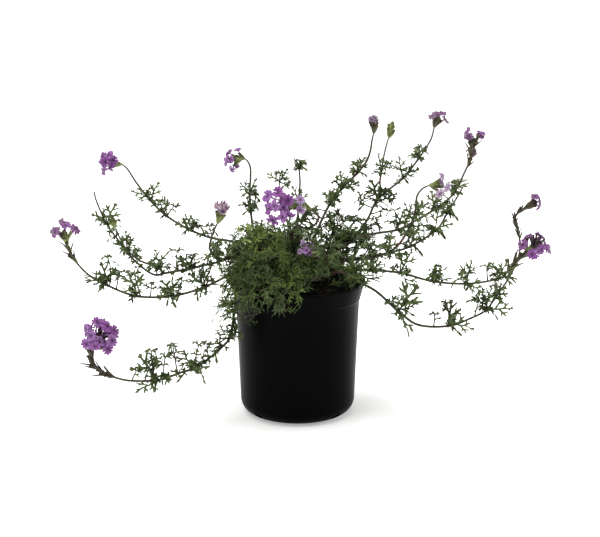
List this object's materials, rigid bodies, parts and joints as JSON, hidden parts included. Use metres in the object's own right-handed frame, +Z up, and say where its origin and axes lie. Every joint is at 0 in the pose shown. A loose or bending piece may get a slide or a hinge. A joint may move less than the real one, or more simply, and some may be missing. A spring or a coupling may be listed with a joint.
{
  "type": "potted verbena",
  "caption": "Trailing verbena in a round black nursery pot: long arching stems with cut leaves, a mound of foliage over the rim and small violet flower heads.",
  "frame": {"origin": "centre of the underside of the pot", "axes": "+Z up, +X to the right as the picture shows the plant, -Y towards the viewer"},
  "size_m": [0.5818, 0.3216, 0.3604],
  "materials": {
    "pot": "satin black blow-moulded plastic",
    "soil": "loose dark potting mix of peat and bark",
    "stem": "matt hairy leaf and stem",
    "petal": "soft matt petal"
  },
  "bodies": {
    "root": {"bloom_centre": "petal", "bloom_front": "petal", "bloom_left_back": "petal", "bloom_left_front": "petal", "bloom_left_high": "petal", "bloom_left_lower": "petal", "bloom_left_lowest": "petal", "bloom_rear_left": "petal", "bloom_rear_right": "petal", "bloom_right_high": "petal", "bloom_right_lower": "petal", "bloom_right_lowest": "petal", "bloom_right_middle": "petal", "bloom_right_slender": "petal", "bloom_right_upper": "petal", "mound_back": "stem", "mound_back_right": "stem", "mound_centre": "stem", "mound_centre_front": "stem", "mound_centre_left": "stem", "mound_front": "stem", "mound_front_left": "stem", "mound_left": "stem", "mound_left_back": "stem", "mound_right": "stem", "pot": "pot", "soil": "soil", "stem_back_centre": "stem", "stem_centre": "stem", "stem_front": "stem", "stem_left_back": "stem", "stem_left_front": "stem", "stem_left_high": "stem", "stem_left_lower": "stem", "stem_left_lowest": "stem", "stem_left_middle": "stem", "stem_rear": "stem", "stem_rear_left": "stem", "stem_rear_right": "stem", "stem_right_back": "stem", "stem_right_high": "stem", "stem_right_lower": "stem", "stem_right_lowest": "stem", "stem_right_middle": "stem", "stem_right_slender": "stem", "stem_right_upper": "stem"}
  },
  "joints": []
}
